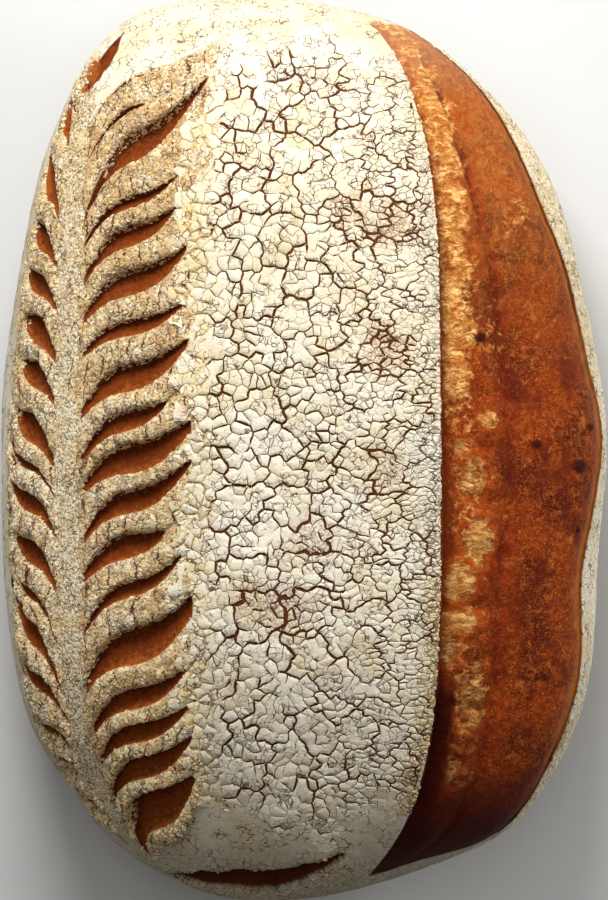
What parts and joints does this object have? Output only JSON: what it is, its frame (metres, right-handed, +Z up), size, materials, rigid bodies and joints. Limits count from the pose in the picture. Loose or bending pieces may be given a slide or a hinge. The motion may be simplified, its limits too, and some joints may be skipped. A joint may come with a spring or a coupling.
{
  "type": "sourdough loaf",
  "caption": "Oval rustic loaf with a wheat-ear score down one side, a crackled floured top, and an opened ear beside a browned burst.",
  "frame": {"origin": "middle of the loaf's box at the level of its flat base", "axes": "+X across the loaf towards its burst side, +Y along its length, +Z up"},
  "size_m": [0.1852, 0.275, 0.0974],
  "materials": {
    "floured_crust": "matt baked crust, floured on top"
  },
  "bodies": {
    "root": {"loaf": "floured_crust"}
  },
  "joints": []
}
